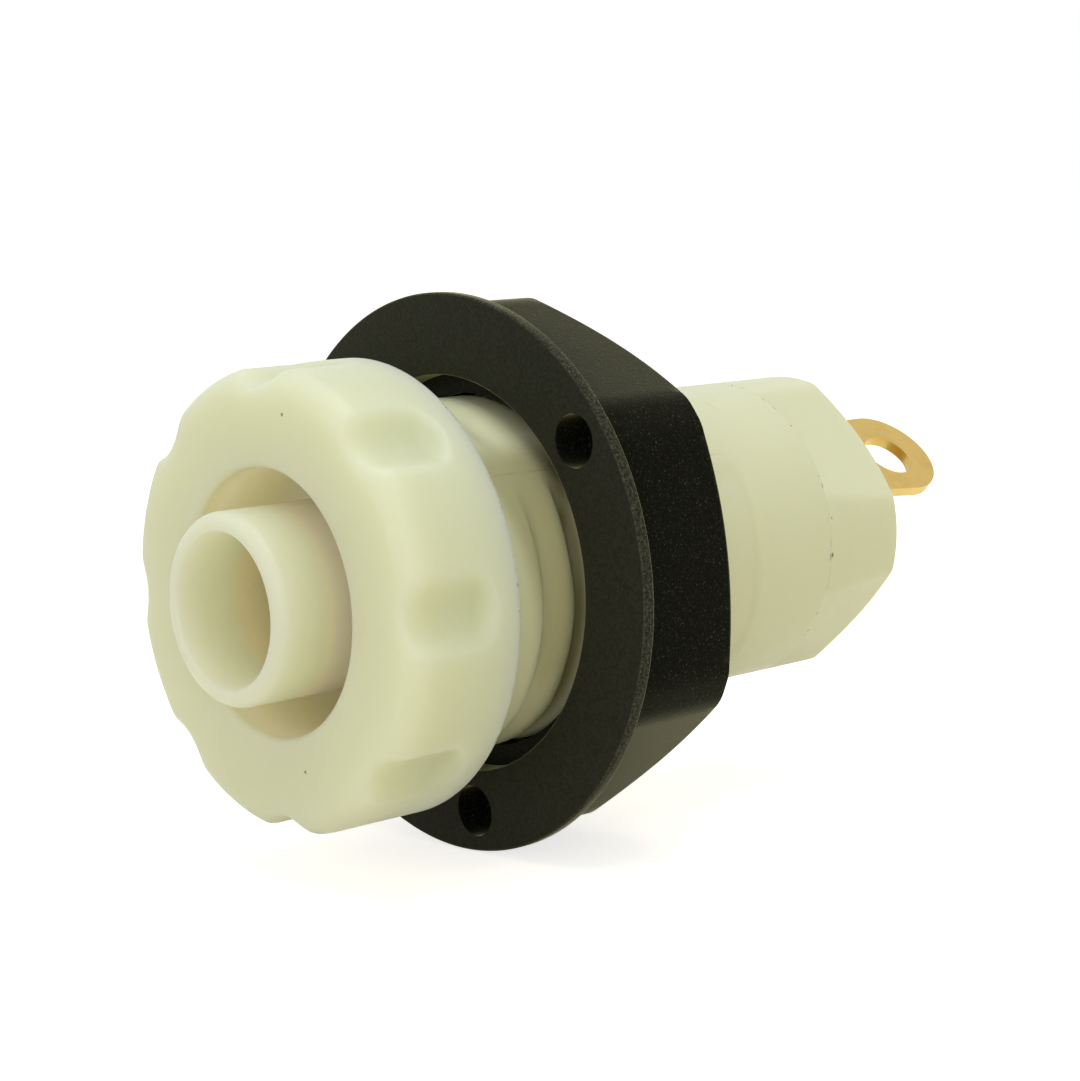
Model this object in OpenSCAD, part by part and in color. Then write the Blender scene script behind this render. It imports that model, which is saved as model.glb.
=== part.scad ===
// Panel socket for 4 mm safety plugs, with a flanged hex nut and a riveted solder tag.
// The socket's axis lies along Y: the mouth faces -Y, and Y = 0 is the head's seating face.
// Inside each module the axis is Z, with the mouth upwards and Z = 0 at the seating face.

/* [Head] */
// Diameter of the head, which is also the seating face's
head_d = 15.1; // [14:0.1:18]
// Length of the head, from its front face to the seating face
head_len = 4.2; // [3.2:0.1:7]
// Fillet round the front edge of the head
head_front_fillet = 0.8; // [0.2:0.05:1]
// Fillet round the rear edge of the head
head_rear_fillet = 0.06; // [0.02:0.02:0.4]
// Number of finger grooves round the head
groove_count = 8; // [5:1:10]
// Radius of a finger groove's round bottom
groove_r = 1.6; // [1:0.1:2]
// Depth of a finger groove below the head's side
groove_depth = 0.55; // [0.2:0.05:0.9]
// Plain rim that the grooves leave behind them
groove_rim = 0.8; // [0.4:0.1:1.4]

/* [Neck and barrel] */
// Diameter of the neck over its thread
neck_d = 11.9; // [11.4:0.1:13]
// Length of the threaded neck
neck_len = 11.3; // [9:0.1:13]
// Length of the cone where the thread runs out into the barrel
neck_runout = 0.3; // [0.2:0.05:1]
// Diameter of the smooth barrel
barrel_d = 10.9; // [10.4:0.1:11.4]
// Length from the seating face to the rear end of the barrel
barrel_end = 16.8; // [16.2:0.1:22]
// Rounding of the barrel's rear edge
barrel_edge = 0.15; // [0.05:0.05:0.3]

/* [Thread] */
// Pitch of the right-hand thread
thread_pitch = 1.38; // [1:0.02:2]
// Diameter at the root of the thread
thread_root_d = 10.44; // [10.2:0.02:11]
// Station of the first full groove's front edge, at angle 0
thread_start = 3.7; // [2:0.1:5]
// Share of its full depth that the shallow groove in front of that one has
thread_run_in = 0.4; // [0.2:0.05:0.6]
// Angle of the mould's parting line, along which the grooves are broken
parting_angle = 38; // [0:1:90]
// Angle left plain on each side of a parting line
parting_land = 6; // [3:0.5:15]
// Station where the wide run-out groove ends, in the middle of the lower half
runout_lower = 13.25; // [12.5:0.05:14]
// Station where the short run-out groove ends, in the middle of the upper half
runout_upper = 11.65; // [11.5:0.05:12.5]

/* [Recess and sleeve] */
// Diameter of the shroud recess
recess_d = 8.7; // [8.4:0.05:9]
// Depth of the shroud recess, from the head's front face to the sleeve's foot
recess_depth = 17.2; // [16:0.1:18]
// Rounding of the recess's mouth
recess_edge = 0.2; // [0.05:0.05:0.4]
// Diameter of the sleeve
sleeve_d = 6.25; // [5.9:0.05:6.6]
// How far the sleeve stands out in front of the head
sleeve_reach = 1.7; // [0.2:0.1:3]
// Rounding of the sleeve's tip
sleeve_tip_round = 0.42; // [0.1:0.02:0.46]
// Diameter of the funnel's mouth
funnel_d = 5.1; // [4.6:0.05:5.2]
// Depth of the funnel
funnel_depth = 1.9; // [0.5:0.1:3]
// Diameter of the sleeve's guide hole for the plug's pin
guide_d = 4.2; // [4.1:0.05:4.4]
// Diameter of the foot that holds the sleeve in the barrel
foot_d = 9; // [8.9:0.05:9.3]
// Thickness of the sleeve's foot
foot_len = 1.9; // [1.2:0.1:2.2]

/* [Contact] */
// Diameter of the contact's bore
contact_bore_d = 4; // [3.9:0.05:4.05]
// Outer diameter of the contact
contact_d = 5.2; // [4.8:0.05:5.4]
// Distance from the seating face forward to the contact's mouth
contact_front = 1; // [0.4:0.1:2]
// Depth of the contact's bore
contact_bore_depth = 15.2; // [12:0.1:15.4]
// Chamfer of the contact's mouth
contact_chamfer = 0.3; // [0.1:0.05:0.35]
// Diameter of the contact's collar
collar_d = 7; // [6:0.1:8]
// Thickness of the contact's collar
collar_len = 0.8; // [0.5:0.1:1.2]
// Diameter of the contact's tail
tail_d = 2.4; // [1.8:0.1:2.6]
// Diameter of the riveted head on the tail
rivet_d = 3.4; // [3:0.1:3.8]
// Height of the riveted head
rivet_len = 0.6; // [0.4:0.05:1]

/* [End cap] */
// Diameter over the round corners of the end cap
cap_d = 10.9; // [10.3:0.05:11.4]
// Length of the end cap behind the barrel
cap_len = 4.1; // [2.5:0.1:6]
// Width across the flats at the barrel
cap_front_flats = 9.8; // [9.4:0.1:10.4]
// Width across the flats at the rear end
cap_rear_flats = 9.1; // [8.6:0.1:9.8]
// Drop of the rear end's cone at the cap's round corners
cap_chamfer_drop = 0.5; // [0.2:0.05:0.8]
// Angle between that cone and the rear face
cap_chamfer_angle = 30; // [20:1:45]
// Angle of a flat round the axis, from +X towards +Z
cap_turn = 42; // [0:1:90]

/* [Solder tag] */
// Thickness of the tag's sheet
tag_t = 0.4; // [0.3:0.05:0.6]
// Width of the tag, and diameter of its round ends
tag_w = 4; // [3.6:0.1:5]
// Distance from the axis to the middle of the bent tail
tag_offset = 2.75; // [2.6:0.05:3.4]
// Inside radius of the bend
tag_bend_r = 0.4; // [0.2:0.05:0.5]
// Distance from the end cap to the tip of the tag
tag_len = 5.35; // [4.8:0.05:9]
// Diameter of the wire eye
eye_d = 1.85; // [1.4:0.05:2.4]
// Angle of the tail round the axis, from +X towards +Z
tag_turn = 45; // [-180:1:180]

/* [Flange nut] */
// Gap between the seating face and the nut, where the panel goes
panel_gap = 3.4; // [0.5:0.1:5]
// Diameter of the flange
flange_d = 19; // [18:0.1:24]
// Thickness of the flange
flange_t = 0.45; // [0.3:0.05:1]
// Rounding of the flange's edges
flange_edge = 0.1; // [0.05:0.01:0.14]
// Width across the nut's flats
nut_flats = 16.4; // [15.5:0.1:17.5]
// Diameter that the nut's corners are turned to
nut_corner_d = 18.2; // [17.6:0.1:19]
// Height of the nut with its flange
nut_h = 5.3; // [4:0.1:7]
// Angle of the chamfer on the nut's rear corners
nut_chamfer_angle = 30; // [20:1:40]
// Drop of that chamfer at the corners
nut_chamfer_drop = 0.6; // [0.4:0.1:1.2]
// Diameter of the clearance hole in the nut's face
nut_mouth_d = 13.5; // [12.6:0.05:13.8]
// Depth of that clearance hole
nut_mouth_depth = 1.2; // [0.6:0.1:1.6]
// Number of blind holes in the flange's face
pin_count = 3; // [2:1:6]
// Diameter of a blind hole
pin_d = 1.75; // [1:0.05:2]
// Depth of a blind hole
pin_depth = 1.1; // [0.5:0.1:1.6]
// Pitch circle diameter of the blind holes
pin_pcd = 16.2; // [15.8:0.1:16.6]
// Angle of the nut round the axis, to a corner with a hole, from +X towards +Z
nut_turn = 35.2; // [0:0.1:120]

/* [Fits] */
// Radial gap between pieces that are pressed together
press_gap = 0.02; // [0.01:0.01:0.05]
// Radial running gap between the nut's thread and the neck's
thread_gap = 0.1; // [0.05:0.01:0.15]

/* [Hidden] */
$fn = 96;
cut = 1;                                   // overshoot of every cutting solid
body_colour = [0.85, 0.86, 0.73];
metal_colour = [0.84, 0.70, 0.38];
nut_colour = [0.12, 0.13, 0.11];

head_r = head_d / 2;
neck_r = neck_d / 2;
barrel_r = barrel_d / 2;
recess_r = recess_d / 2;
foot_r = foot_d / 2;

groove_axis_r = head_r - groove_depth + groove_r;
groove_end_z = groove_rim + groove_r;      // centre of the groove's round end

thread_root_r = thread_root_d / 2;
thread_front = 0.2 * thread_pitch;         // a groove's front flank ends here, behind its front edge
thread_floor = 0.36 * thread_pitch;        // its floor ends here
thread_rear = 0.92 * thread_pitch;         // and its rear flank here
thread_over = 0.3;                         // how far the flanks go on outside the neck
thread_mean_r = (neck_r + thread_root_r) / 2;
thread_lean = asin(thread_pitch / (6 * sin(60) * thread_mean_r));
thread_last = floor((neck_len - thread_start) / thread_pitch);
lower_middle = parting_angle - 90;
upper_middle = parting_angle + 90;

foot_front_z = head_len - recess_depth;
foot_rear_z = foot_front_z - foot_len;
sleeve_tip_z = head_len + sleeve_reach;
funnel_end_z = sleeve_tip_z - funnel_depth;
collar_rear_z = foot_rear_z - collar_len;
contact_floor_z = contact_front - contact_bore_depth;
rivet_dome_r = (pow(rivet_d / 2, 2) + pow(rivet_len, 2)) / (2 * rivet_len);

cap_front_z = -barrel_end;
cap_rear_z = cap_front_z - cap_len;
cap_draft = atan2((cap_front_flats - cap_rear_flats) / 2, cap_len);
cap_rear_r = cap_d / 2 - cap_chamfer_drop / tan(cap_chamfer_angle);
cap_flat_count = 4;

tag_rear_z = cap_rear_z - tag_t;
tag_tip_z = cap_rear_z - tag_len;
eye_z = tag_tip_z + tag_w / 2;
tag_inner = tag_offset - tag_t / 2;        // the tail's face on the axis side
bend_centre = tag_inner - tag_bend_r;
bend_z = tag_rear_z - tag_bend_r;

nut_front_z = -panel_gap;
nut_rear_z = nut_front_z - nut_h;
nut_bore_r = neck_r + thread_gap;
nut_corner_r = nut_corner_d / 2;
nut_rear_r = nut_corner_r - nut_chamfer_drop / tan(nut_chamfer_angle);
hex_sides = 6;
hex_r = nut_flats / 2 / cos(180 / hex_sides);

// Lays the axis along Y, with the mouth towards -Y.
module on_axis() {
    rotate([90, 0, 0]) children();
}

// What a fillet takes off the corner of a half section. The corner is at x, z, and in_x and
// in_z, each 1 or -1, point from it into the section.
module corner_waste(x, z, in_x, in_z, fillet) {
    translate([x, z])
        mirror([in_x < 0 ? 1 : 0, 0])
            mirror([0, in_z < 0 ? 1 : 0])
                difference() {
                    translate([-cut, -cut]) square(fillet + cut);
                    translate([fillet, fillet]) circle(fillet);
                }
}

// Half section of the head, with a round mouth for the recess.
module head_section() {
    difference() {
        translate([recess_r, 0]) square([head_r - recess_r, head_len]);
        corner_waste(head_r, head_len, -1, -1, head_front_fillet);
        corner_waste(head_r, 0, -1, 1, head_rear_fillet);
        corner_waste(recess_r, head_len, 1, -1, recess_edge);
    }
}

// Half section of the neck and the barrel, bored for the recess and the sleeve's foot. It starts
// inside the head, so that the two are one solid.
module shank_section() {
    difference() {
        polygon([
            [recess_r, head_len / 2],
            [neck_r, head_len / 2],
            [neck_r, neck_runout - neck_len],
            [barrel_r, -neck_len],
            [barrel_r, -barrel_end],
            [foot_r, -barrel_end],
            [foot_r, foot_front_z],
            [recess_r, foot_front_z],
        ]);
        corner_waste(barrel_r, -barrel_end, -1, 1, barrel_edge);
    }
}

// Round-bottomed groove along the head's side, open at the front, with a spoon end behind.
module finger_groove() {
    translate([groove_axis_r, 0, groove_end_z]) {
        cylinder(r = groove_r, h = head_len + cut);
        sphere(groove_r);
    }
}

// Half section of a thread groove behind its front edge, which is at Z = 0: a steep front flank,
// a floor at root_r and a long rear flank.
module thread_section(root_r) {
    over = thread_over / (neck_r - root_r);
    polygon([
        [root_r, -thread_front],
        [root_r, -thread_floor],
        [neck_r + thread_over, -thread_rear - over * (thread_rear - thread_floor)],
        [neck_r + thread_over, over * thread_front],
    ]);
}

// Half section of the last groove, in which the thread runs out into the barrel over a width.
module runout_section(width) {
    over = thread_over / (neck_r - thread_root_r);
    rise = (neck_r + thread_over - thread_root_r) / (barrel_r - thread_root_r);
    polygon([
        [thread_root_r, -thread_front],
        [thread_root_r, neck_runout - width],
        [neck_r + thread_over, neck_runout - width - rise * neck_runout],
        [neck_r + thread_over, over * thread_front],
    ]);
}

// Station of a groove's front edge in the middle of one half of the mould.
function edge_station(middle, index) = thread_start + thread_pitch * (index - middle / 360);

// Turns a groove's section round one half of the mould, leaning so as to follow the helix.
module mould_half(middle, index) {
    translate([0, 0, -edge_station(middle, index)])
        rotate([0, 0, middle])
            rotate([thread_lean, 0, 0])
                rotate([0, 0, parting_land - 90])
                    rotate_extrude(angle = 180 - 2 * parting_land) children();
}

// Thread of one half, from its shallow first groove to the groove that ends at a station.
module half_thread(middle, end) {
    mould_half(middle, -1) thread_section(neck_r - thread_run_in * (neck_r - thread_root_r));
    for (index = [0 : thread_last - 1])
        mould_half(middle, index) thread_section(thread_root_r);
    mould_half(middle, thread_last) runout_section(end - edge_station(middle, thread_last));
}

module outer_body() {
    color(body_colour)
        on_axis()
            difference() {
                union() {
                    rotate_extrude() head_section();
                    rotate_extrude() shank_section();
                }
                for (i = [0 : groove_count - 1])
                    rotate([0, 0, i * 360 / groove_count]) finger_groove();
                half_thread(lower_middle, runout_lower);
                half_thread(upper_middle, runout_upper);
            }
}

module inner_sleeve() {
    color(body_colour)
        on_axis()
            difference() {
                rotate_extrude()
                    difference() {
                        union() {
                            translate([0, foot_rear_z]) square([sleeve_d / 2, sleeve_tip_z - foot_rear_z]);
                            translate([0, foot_rear_z]) square([foot_r - press_gap, foot_len]);
                        }
                        corner_waste(sleeve_d / 2, sleeve_tip_z, -1, -1, sleeve_tip_round);
                    }
                translate([0, 0, foot_rear_z - cut])
                    cylinder(d = guide_d, h = sleeve_tip_z - foot_rear_z + 2 * cut);
                translate([0, 0, funnel_end_z])
                    cylinder(d1 = guide_d, d2 = funnel_d, h = funnel_depth);
                translate([0, 0, foot_rear_z - cut])
                    cylinder(r = contact_d / 2 + press_gap, h = contact_front - foot_rear_z + cut);
            }
}

// Half section of the riveted head, a flat dome on the tag.
module rivet_section() {
    intersection() {
        translate([0, tag_rear_z - rivet_len]) square([rivet_d / 2, rivet_len]);
        translate([0, tag_rear_z - rivet_len + rivet_dome_r]) circle(rivet_dome_r);
    }
}

module contact_socket() {
    color(metal_colour)
        on_axis()
            difference() {
                rotate_extrude() {
                    translate([0, collar_rear_z])
                        square([contact_d / 2, contact_front - collar_rear_z]);
                    translate([0, collar_rear_z]) square([collar_d / 2, collar_len]);
                    translate([0, tag_rear_z]) square([tail_d / 2, collar_rear_z - tag_rear_z]);
                    rivet_section();
                }
                translate([0, 0, contact_floor_z])
                    cylinder(d = contact_bore_d, h = contact_bore_depth + cut);
                translate([0, 0, contact_front - contact_chamfer])
                    cylinder(r1 = contact_bore_d / 2, r2 = contact_bore_d / 2 + contact_chamfer,
                             h = contact_chamfer);
            }
}

// Waste outside one drafted flat of the end cap.
module cap_flat() {
    translate([cap_front_flats / 2, 0, cap_front_z])
        rotate([0, cap_draft, 0])
            translate([0, -cap_d / 2, -2 * cap_len])
                cube([cap_d / 2, cap_d, 2 * cap_len]);
}

// Half section of the end cap: a spigot in the barrel, and a round body with a cone on its rear end.
module cap_section() {
    polygon([
        [0, collar_rear_z],
        [foot_r - press_gap, collar_rear_z],
        [foot_r - press_gap, cap_front_z],
        [cap_d / 2, cap_front_z],
        [cap_d / 2, cap_rear_z + cap_chamfer_drop],
        [cap_rear_r, cap_rear_z],
        [0, cap_rear_z],
    ]);
}

module end_cap() {
    color(body_colour)
        on_axis()
            difference() {
                rotate_extrude() cap_section();
                for (i = [0 : cap_flat_count - 1])
                    rotate([0, 0, cap_turn + i * 360 / cap_flat_count]) cap_flat();
                translate([0, 0, cap_rear_z - cut])
                    cylinder(r = tail_d / 2 + press_gap, h = collar_rear_z - cap_rear_z + 2 * cut);
            }
}

// The tag is drawn with its tail on the +X side.
module tag_blank() {
    translate([0, 0, tag_rear_z]) {
        cylinder(d = tag_w, h = tag_t);
        translate([0, -tag_w / 2, 0]) cube([bend_centre, tag_w, tag_t]);
    }
    intersection() {
        translate([bend_centre, tag_w / 2, bend_z])
            rotate([90, 0, 0])
                difference() {
                    cylinder(r = tag_bend_r + tag_t, h = tag_w);
                    translate([0, 0, -cut]) cylinder(r = tag_bend_r, h = tag_w + 2 * cut);
                }
        translate([bend_centre, -tag_w / 2, bend_z])
            cube([tag_bend_r + tag_t, tag_w, tag_bend_r + tag_t]);
    }
    translate([tag_inner, -tag_w / 2, eye_z]) cube([tag_t, tag_w, bend_z - eye_z]);
    translate([tag_inner, 0, eye_z]) rotate([0, 90, 0]) cylinder(d = tag_w, h = tag_t);
}

module solder_tag() {
    color(metal_colour)
        on_axis()
            rotate([0, 0, tag_turn])
                difference() {
                    tag_blank();
                    translate([0, 0, tag_rear_z - cut])
                        cylinder(r = tail_d / 2 + press_gap, h = tag_t + 2 * cut);
                    translate([tag_inner - cut, 0, eye_z])
                        rotate([0, 90, 0]) cylinder(d = eye_d, h = tag_t + 2 * cut);
                }
}

// Round blank that the hex is turned from, with the chamfer on its rear end.
module nut_blank_section() {
    polygon([
        [0, nut_front_z],
        [nut_corner_r, nut_front_z],
        [nut_corner_r, nut_rear_z + nut_chamfer_drop],
        [nut_rear_r, nut_rear_z],
        [0, nut_rear_z],
    ]);
}

// Half section of the flange, with both rims rounded.
module flange_section() {
    difference() {
        translate([0, nut_front_z - flange_t]) square([flange_d / 2, flange_t]);
        corner_waste(flange_d / 2, nut_front_z, -1, -1, flange_edge);
        corner_waste(flange_d / 2, nut_front_z - flange_t, -1, 1, flange_edge);
    }
}

module flange_nut() {
    color(nut_colour)
        on_axis()
            rotate([0, 0, nut_turn])
                difference() {
                    union() {
                        rotate_extrude() flange_section();
                        intersection() {
                            translate([0, 0, nut_rear_z])
                                cylinder(r = hex_r, h = nut_h - flange_t / 2, $fn = hex_sides);
                            rotate_extrude() nut_blank_section();
                        }
                    }
                    translate([0, 0, nut_rear_z - cut]) cylinder(r = nut_bore_r, h = nut_h + 2 * cut);
                    translate([0, 0, nut_front_z - nut_mouth_depth])
                        cylinder(d = nut_mouth_d, h = nut_mouth_depth + cut);
                    for (i = [0 : pin_count - 1])
                        rotate([0, 0, i * 360 / pin_count])
                            translate([pin_pcd / 2, 0, nut_front_z - pin_depth])
                                cylinder(d = pin_d, h = pin_depth + cut);
                }
}

outer_body();
inner_sleeve();
contact_socket();
end_cap();
solder_tag();
flange_nut();
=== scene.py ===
"""Dressed model of an insulated panel socket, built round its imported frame.

All sizes are in millimetres, in the frame of the part: the axis of the socket lies along Y, its
mouth faces -Y, and station 0 is the seating face of the head. Angles run from +X towards +Z.
"""

import logging
import math
from collections.abc import Callable
from dataclasses import dataclass
from enum import Enum

import bpy
import numpy as np
from bpy.types import ID, Material, Node, NodeSocket as Socket, NodeTree, Object
from mathutils import Matrix

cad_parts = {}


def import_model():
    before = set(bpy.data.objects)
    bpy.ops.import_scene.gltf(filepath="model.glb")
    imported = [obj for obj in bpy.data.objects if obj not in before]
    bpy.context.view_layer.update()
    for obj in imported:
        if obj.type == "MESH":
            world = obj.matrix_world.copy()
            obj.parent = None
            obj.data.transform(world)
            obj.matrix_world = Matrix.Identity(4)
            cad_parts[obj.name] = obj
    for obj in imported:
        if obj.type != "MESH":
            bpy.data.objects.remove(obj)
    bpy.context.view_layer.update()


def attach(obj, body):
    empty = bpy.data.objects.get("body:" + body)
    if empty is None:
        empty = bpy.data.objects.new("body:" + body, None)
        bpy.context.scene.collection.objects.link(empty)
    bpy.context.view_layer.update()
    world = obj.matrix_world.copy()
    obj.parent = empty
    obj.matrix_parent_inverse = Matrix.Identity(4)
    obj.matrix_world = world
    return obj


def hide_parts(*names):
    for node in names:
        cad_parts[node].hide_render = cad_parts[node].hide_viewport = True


# A millimetre, and the distance within which points are one, in metres
MM = 0.001
MERGE = 1e-6
# How near a wall a point on it lies, the shortest edge worth dividing, and the least radius
NEAR = 0.01
SHORTEST = 0.05
HAIR = 1e-4
LOG = logging.getLogger("panel_socket")

# A ramp is two levels and what they become, a cloud the scale, detail and roughness of a
# noise, and a fillet a radius and its number of facets
Array = np.ndarray
Pair = tuple[float, float]
Triple = tuple[float, float, float]
Ramp = tuple[float, float, float, float]
Cloud = Triple
Fillet = tuple[float, int]
Outline = list[Pair]
Inputs = dict[str | int, object]
EdgeTest = Callable[[Array, Array], Array]


class Body(Enum):
    """Bodies of the frame that a piece can ride on."""

    SOCKET = "socket"
    NUT = "nut"


class Slot(Enum):
    """Material slots of the record."""

    NYLON = "white_nylon"
    BLACK = "black_plastic"
    GOLD = "gold_plate"


class Cut(Enum):
    """Ways in which one solid works on another."""

    UNION = "UNION"
    DIFFERENCE = "DIFFERENCE"


# Bench work shared by the pieces


def clear_selection() -> None:
    """Leaves edit mode and deselects every object."""
    if bpy.context.object and bpy.context.object.mode != "OBJECT":
        bpy.ops.object.mode_set(mode="OBJECT")
    bpy.ops.object.select_all(action="DESELECT")


def activate(piece: Object) -> None:
    """Makes one piece the only selected and active object."""
    clear_selection()
    piece.select_set(True)
    bpy.context.view_layer.objects.active = piece


def settle(name: str) -> Object:
    """Names the object that an operator has just made and moves its place into its mesh.

    Args:
        name: Name for the object and its mesh.

    Returns:
        The object, at the origin.
    """
    piece = bpy.context.object
    piece.name = name
    piece.data.name = name
    bpy.ops.object.transform_apply(location=True, rotation=True, scale=True)
    return piece


def revolve(name: str, outline: Outline, segments: int, closed: bool = True) -> Object:
    """Draws a ring out along an outline of radius and station, as a turned part.

    Args:
        name: Name of the piece.
        outline: Radius and station of each ring, in order.
        segments: Number of points round a ring.
        closed: True where the section closes on its first ring, False where both ends get a cap.

    Returns:
        The turned piece, with its normals outwards.
    """
    clear_selection()
    radius, station = outline[0]
    bpy.ops.mesh.primitive_circle_add(
        vertices=segments, radius=radius * MM, fill_type="NOTHING",
        location=(0.0, station * MM, 0.0), rotation=(math.pi / 2, 0.0, 0.0))
    piece = settle(name)
    bpy.context.tool_settings.mesh_select_mode = (True, False, False)
    bpy.ops.object.mode_set(mode="EDIT")
    bpy.ops.mesh.select_all(action="SELECT")
    if not closed:
        bpy.ops.mesh.duplicate()
        bpy.ops.mesh.edge_face_add()
        bpy.ops.mesh.select_all(action="INVERT")
    for next_radius, next_station in outline[1:] + (outline[:1] if closed else []):
        bpy.ops.mesh.extrude_region_move(
            TRANSFORM_OT_translate={"value": (0.0, (next_station - station) * MM, 0.0)})
        scale = next_radius / radius
        bpy.ops.transform.resize(
            value=(scale, 1.0, scale), center_override=(0.0, next_station * MM, 0.0))
        radius, station = next_radius, next_station
    if not closed:
        bpy.ops.mesh.edge_face_add()
    close_mesh()
    return piece


def close_mesh() -> None:
    """Merges doubles, turns the normals outwards and leaves edit mode."""
    bpy.ops.mesh.select_all(action="SELECT")
    bpy.ops.mesh.remove_doubles(threshold=MERGE)
    bpy.ops.mesh.normals_make_consistent(inside=False)
    bpy.ops.object.mode_set(mode="OBJECT")


def read_points(piece: Object) -> Array:
    """Returns the points of a mesh in millimetres, one row each."""
    flat = np.empty(len(piece.data.vertices) * 3)
    piece.data.vertices.foreach_get("co", flat)
    return flat.reshape(-1, 3) / MM


def write_points(piece: Object, points: Array) -> None:
    """Puts points in millimetres back into a mesh."""
    piece.data.vertices.foreach_set("co", (points * MM).ravel())
    piece.data.update()


def radii(points: Array) -> Array:
    """Returns the distance of each point from the axis."""
    return np.hypot(points[:, 0], points[:, 2])


def bearings(points: Array) -> Array:
    """Returns the direction of each point round the axis, in radians."""
    return np.arctan2(points[:, 2], points[:, 0])


def push(piece: Object, held: Array, radius: Array) -> None:
    """Moves points of a piece to new distances from the axis.

    Args:
        piece: Piece to work on.
        held: Mask of the points that move.
        radius: New distance of each point.
    """
    points = read_points(piece)
    share = np.where(held, radius / np.maximum(radii(points), HAIR), 1.0)
    points[:, [0, 2]] *= share[:, np.newaxis]
    write_points(piece, points)


def pick_edges(piece: Object, test: EdgeTest) -> None:
    """Enters edit mode with the edges selected that a test chooses.

    Args:
        piece: Piece to work on.
        test: Takes the radius and the station of every edge's two ends, and returns a mask.
    """
    activate(piece)
    mesh = piece.data
    points = read_points(piece)
    ends = np.empty(len(mesh.edges) * 2, dtype=np.int32)
    mesh.edges.foreach_get("vertices", ends)
    ends = ends.reshape(-1, 2)
    chosen = test(radii(points)[ends], points[ends, 1])
    held = np.zeros(len(points), dtype=bool)
    held[ends[chosen].ravel()] = True
    bpy.context.tool_settings.mesh_select_mode = (False, True, False)
    mesh.polygons.foreach_set("select", np.zeros(len(mesh.polygons), dtype=bool))
    mesh.edges.foreach_set("select", chosen)
    mesh.vertices.foreach_set("select", held)
    bpy.ops.object.mode_set(mode="EDIT")


def round_rim(piece: Object, rim: Pair, fillet: Fillet) -> None:
    """Rounds one rim of a turned piece.

    Args:
        piece: Turned piece.
        rim: Radius and station of the rim.
        fillet: Radius of the rounding, and the number of facets across it.
    """

    def on_rim(radius: Array, station: Array) -> Array:
        """Tells which edges run along the rim."""
        near = (np.abs(radius - rim[0]) < NEAR) & (np.abs(station - rim[1]) < NEAR)
        return near.all(axis=1)

    pick_edges(piece, on_rim)
    bpy.ops.mesh.bevel(offset=fillet[0] * MM, segments=fillet[1], profile=0.5, affect="EDGES")
    bpy.ops.object.mode_set(mode="OBJECT")


def split_lengthwise(piece: Object, wall: float, span: Pair, cuts: int) -> None:
    """Divides the plain wall of a turned piece into short rings.

    Args:
        piece: Turned piece.
        wall: Radius of the wall.
        span: Stations between which the wall is divided.
        cuts: Number of new rings on each edge.
    """
    low, high = span

    def along(radius: Array, station: Array) -> Array:
        """Tells which edges run along the axis on that wall."""
        inside = (np.abs(radius - wall) < NEAR) & (station > low - NEAR) & (station < high + NEAR)
        return inside.all(axis=1) & (np.ptp(station, axis=1) > SHORTEST)

    pick_edges(piece, along)
    bpy.ops.mesh.subdivide(number_cuts=cuts, smoothness=0.0)
    bpy.ops.object.mode_set(mode="OBJECT")


def combine(piece: Object, other: Object, cut: Cut) -> None:
    """Joins another solid to a piece, or takes it away, and removes the other one."""
    activate(piece)
    bpy.ops.object.modifier_add(type="BOOLEAN")
    work = piece.modifiers[-1]
    work.object = other
    work.operation = cut.value
    work.solver = "EXACT"
    bpy.ops.object.modifier_apply(modifier=work.name)
    bpy.data.objects.remove(other)


def soften(piece: Object, fillet: Fillet, angle: float) -> None:
    """Rounds every edge of a piece that is sharper than an angle in degrees."""
    activate(piece)
    bpy.ops.object.modifier_add(type="BEVEL")
    work = piece.modifiers[-1]
    work.width = fillet[0] * MM
    work.segments = fillet[1]
    work.limit_method = "ANGLE"
    work.angle_limit = math.radians(angle)
    bpy.ops.object.modifier_apply(modifier=work.name)


def peg(name: str, radius: float, span: Pair, place: Pair, segments: int = 64) -> Object:
    """Makes a round solid along the axis, to join to a piece or to cut with.

    Args:
        name: Name of the solid.
        radius: Radius of the solid.
        span: Stations of its two ends.
        place: Where it stands in X and Z.
        segments: Number of points round it.

    Returns:
        The solid.
    """
    clear_selection()
    bpy.ops.mesh.primitive_cylinder_add(
        vertices=segments, radius=radius * MM, depth=(span[1] - span[0]) * MM,
        location=(place[0] * MM, (span[0] + span[1]) / 2 * MM, place[1] * MM),
        rotation=(math.pi / 2, 0.0, 0.0))
    return settle(name)


def smooth_step(value: Array, low: float | Array, high: float | Array) -> Array:
    """Rises softly from 0 at low to 1 at high."""
    share = np.clip((value - low) / (high - low), 0.0, 1.0)
    return share * share * (3.0 - 2.0 * share)


def plateau(value: Array, rise: Pair, fall: Pair) -> Array:
    """Rises softly from 0 to 1 over one span, and falls back to 0 over another."""
    return smooth_step(value, *rise) * (1.0 - smooth_step(value, *fall))


def soft_min(first: Array, second: Array, blend: float) -> Array:
    """Takes the smaller of two heights, with a rounded change over."""
    share = np.clip(0.5 + 0.5 * (second - first) / blend, 0.0, 1.0)
    return second * (1.0 - share) + first * share - blend * share * (1.0 - share)


def press_flats(piece: Object, held: Array, count: int, turn: float, distance: Array,
                blend: float) -> None:
    """Presses flats into the side of a turned piece, with rounded corners between them.

    Args:
        piece: Turned piece.
        held: Mask of the points that may move.
        count: Number of flats.
        turn: Direction of the first flat, in degrees.
        distance: Distance of the flats from the axis, for each point.
        blend: Width over which a corner is rounded.
    """
    points = read_points(piece)
    pitch = 2 * math.pi / count
    angle = bearings(points) - math.radians(turn)
    away = angle - np.round(angle / pitch) * pitch
    push(piece, held, soft_min(radii(points), distance / np.cos(away), blend))


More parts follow.
